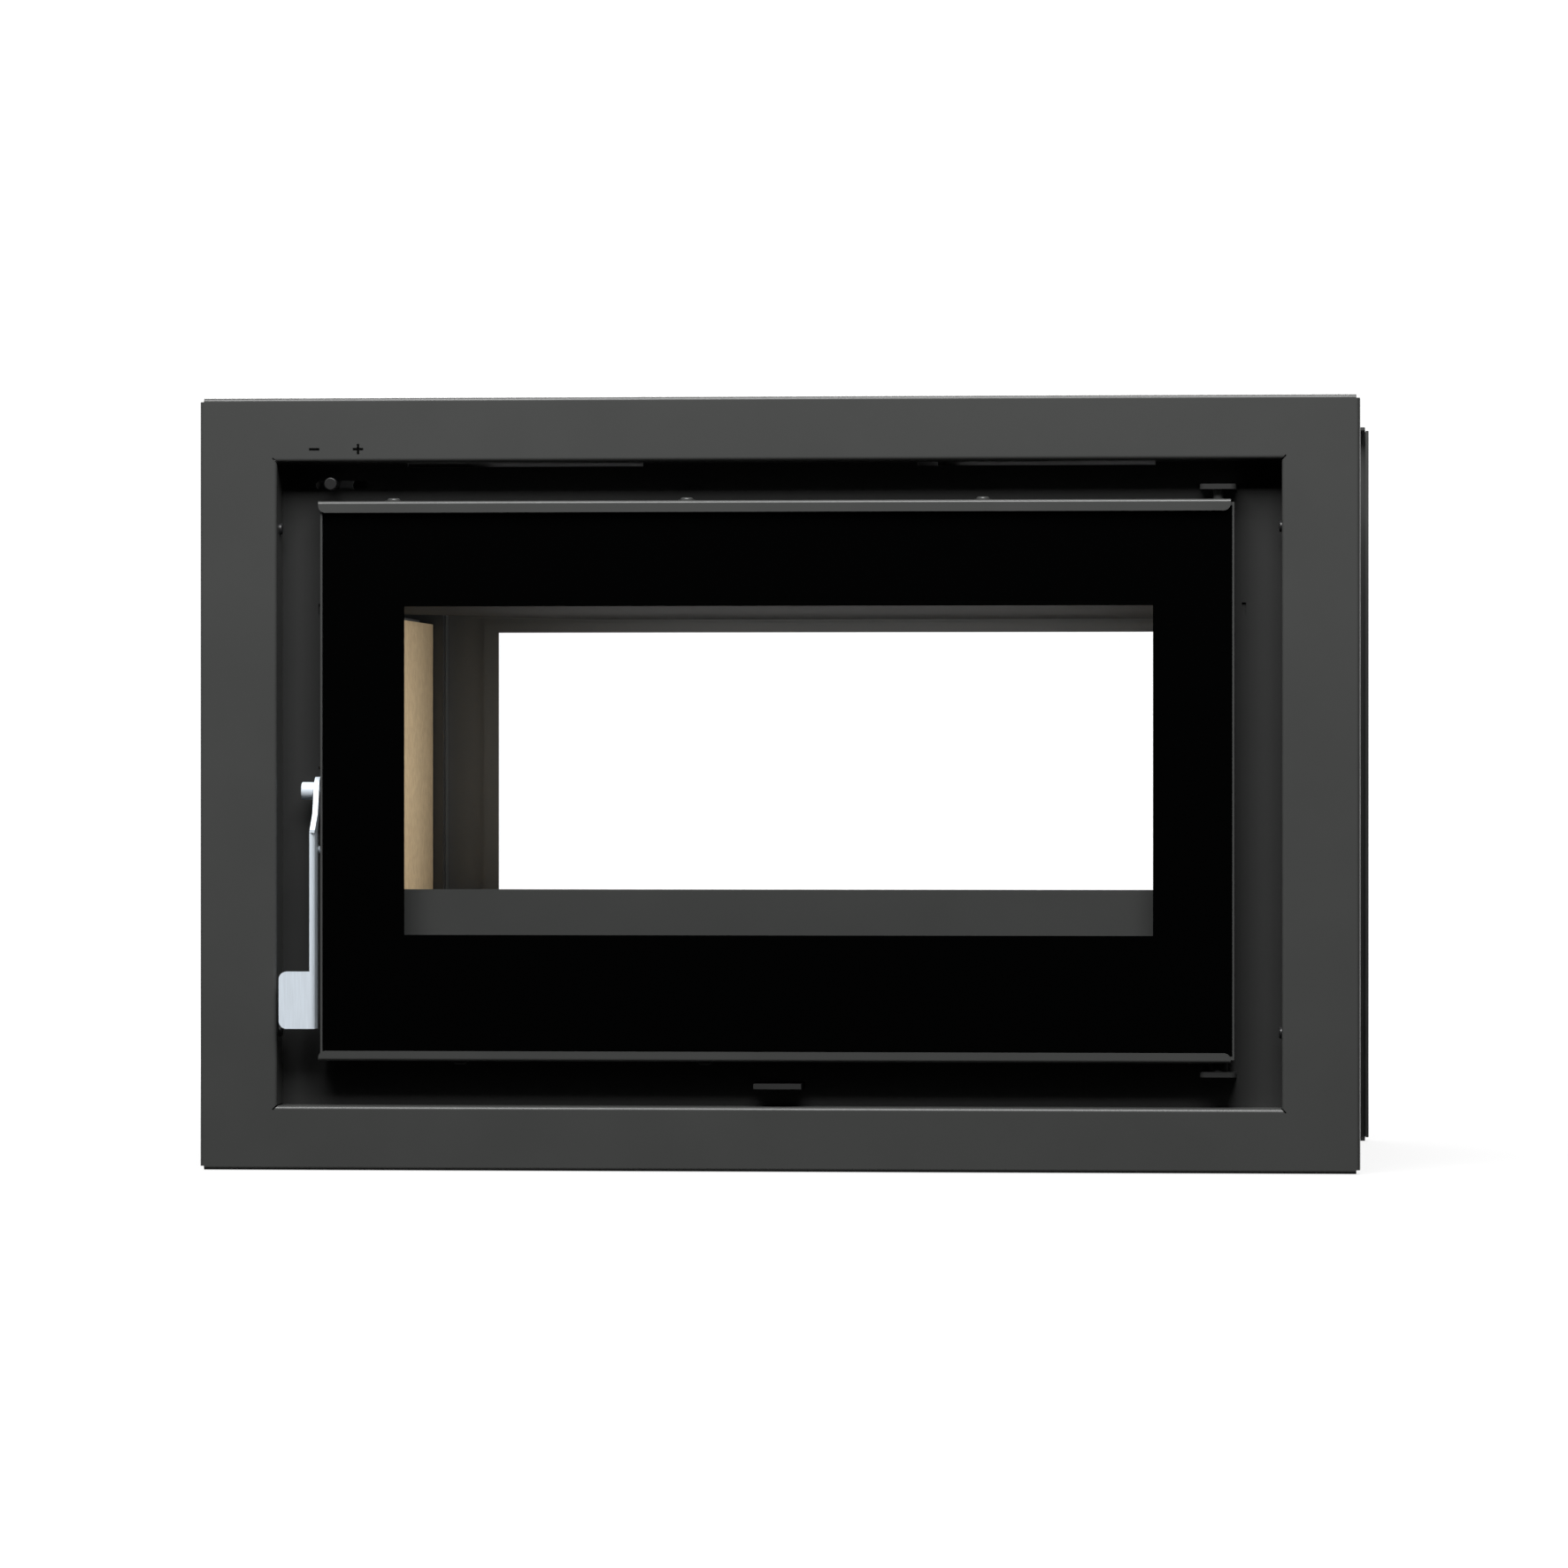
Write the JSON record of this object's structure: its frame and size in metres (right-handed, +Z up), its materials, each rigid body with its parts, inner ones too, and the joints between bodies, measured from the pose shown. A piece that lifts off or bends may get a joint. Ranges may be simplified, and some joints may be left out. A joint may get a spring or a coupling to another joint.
{
  "type": "see-through wood-burning fireplace insert",
  "caption": "Double-sided built-in wood fireplace: steel firebox with hinged glass doors, lift handles, air sliders, folded trim frames, flue collar, liners, grate and ash pan.",
  "frame": {"origin": "on the floor under the middle of the insert", "axes": "+X to the right seen from the front, +Y towards the rear door, +Z up; the front door faces -Y"},
  "size_m": [0.9, 0.628, 0.6],
  "materials": {
    "trim_paint": "matt anthracite stove paint",
    "plate_paint": "matt anthracite stove paint",
    "door_paint": "matt anthracite stove paint",
    "clear_glass": "clear ceramic glass",
    "black_enamel": "printed black enamel",
    "rope_fibre": "braided glass-fibre rope",
    "gasket_fibre": "flat woven glass-fibre tape",
    "stainless": "brushed stainless steel",
    "knob_paint": "matt black paint",
    "zinc_steel": "zinc-plated steel",
    "vermiculite": "pressed vermiculite board",
    "vermiculite_grey": "pressed vermiculite board, sooted",
    "fire_brick": "fire brick",
    "grate_iron": "cast iron",
    "guard_paint": "matt anthracite stove paint",
    "galvanised": "galvanised sheet",
    "black_zinc": "black-passivated steel",
    "firebox_paint": "matt heat-proof paint"
  },
  "bodies": {
    "firebox": {"front_trim_frame": "trim_paint", "rear_trim_frame": "trim_paint", "trim_brackets": "zinc_steel", "trim_screws": "black_zinc", "front_faceplate": "plate_paint", "rear_faceplate": "plate_paint", "right_casing_panel": "galvanised", "left_casing_panel": "galvanised", "casing_top": "galvanised", "casing_base": "galvanised", "levelling_feet": "black_zinc", "firebox_right_wall": "firebox_paint", "firebox_left_wall": "firebox_paint", "firebox_floor": "firebox_paint", "firebox_top": "firebox_paint", "flue_collar": "firebox_paint", "flue_collar_bolts": "black_zinc", "duct_collars": "galvanised", "floor_bricks": "fire_brick", "right_liner": "vermiculite", "left_liner": "vermiculite", "deflector": "vermiculite_grey", "ash_pan": "zinc_steel", "front_log_guard": "guard_paint", "rear_log_guard": "guard_paint", "air_wash_strips": "firebox_paint", "hinge_lugs": "plate_paint", "latch_keepers": "zinc_steel", "air_guides": "zinc_steel"},
    "grate": {"grate": "grate_iron"},
    "front_door": {"front_door_frame": "door_paint", "front_door_rope": "rope_fibre", "front_glass": "clear_glass", "front_glass_border": "black_enamel", "front_glass_gasket": "gasket_fibre", "front_top_rail": "door_paint", "front_bottom_rail": "door_paint", "front_rail_screws": "door_paint", "front_stop_pin": "stainless"},
    "rear_door": {"rear_door_frame": "door_paint", "rear_door_rope": "rope_fibre", "rear_glass": "clear_glass", "rear_glass_border": "black_enamel", "rear_glass_gasket": "gasket_fibre", "rear_top_rail": "door_paint", "rear_bottom_rail": "door_paint", "rear_rail_screws": "door_paint", "rear_stop_pin": "stainless", "rear_inner_trim": "door_paint"},
    "front_handle": {"front_handle_lever": "stainless", "front_handle_pivot": "stainless", "front_latch_hook": "stainless"},
    "rear_handle": {"rear_handle_lever": "stainless", "rear_handle_pivot": "stainless", "rear_latch_hook": "stainless"},
    "front_air_control": {"front_air_knob": "knob_paint", "front_air_slider": "zinc_steel"},
    "rear_air_control": {"rear_air_knob": "knob_paint", "rear_air_slider": "zinc_steel"},
    "primary_air": {"primary_air_tab": "plate_paint"}
  },
  "joints": [
    {"name": "front_door_hinge", "type": "hinge", "parent": "firebox", "child": "front_door", "pos_m": [0.3406, -0.2905, 0.3], "axis": [0, 0, 1], "range_deg": [0, 100]},
    {"name": "rear_door_hinge", "type": "hinge", "parent": "firebox", "child": "rear_door", "pos_m": [-0.3406, 0.2905, 0.3], "axis": [0, 0, 1], "range_deg": [0, 100]},
    {"name": "front_handle_pivot", "type": "hinge", "parent": "front_door", "child": "front_handle", "pos_m": [-0.361, -0.29, 0.2946], "axis": [-1, 0, 0], "range_deg": [0, 50]},
    {"name": "rear_handle_pivot", "type": "hinge", "parent": "rear_door", "child": "rear_handle", "pos_m": [0.361, 0.29, 0.2946], "axis": [1, 0, 0], "range_deg": [0, 50]},
    {"name": "front_air_slide", "type": "slide", "parent": "firebox", "child": "front_air_control", "axis": [1, 0, 0], "range_m": [-0.0121, 0.0222]},
    {"name": "rear_air_slide", "type": "slide", "parent": "firebox", "child": "rear_air_control", "axis": [-1, 0, 0], "range_m": [-0.0121, 0.0222]},
    {"name": "primary_air_slide", "type": "slide", "parent": "firebox", "child": "primary_air", "axis": [0, -1, 0], "range_m": [0, 0.03]},
    {"name": "grate_lift", "type": "slide", "parent": "firebox", "child": "grate", "axis": [0, 0, 1], "range_m": [0, 0.15]}
  ]
}
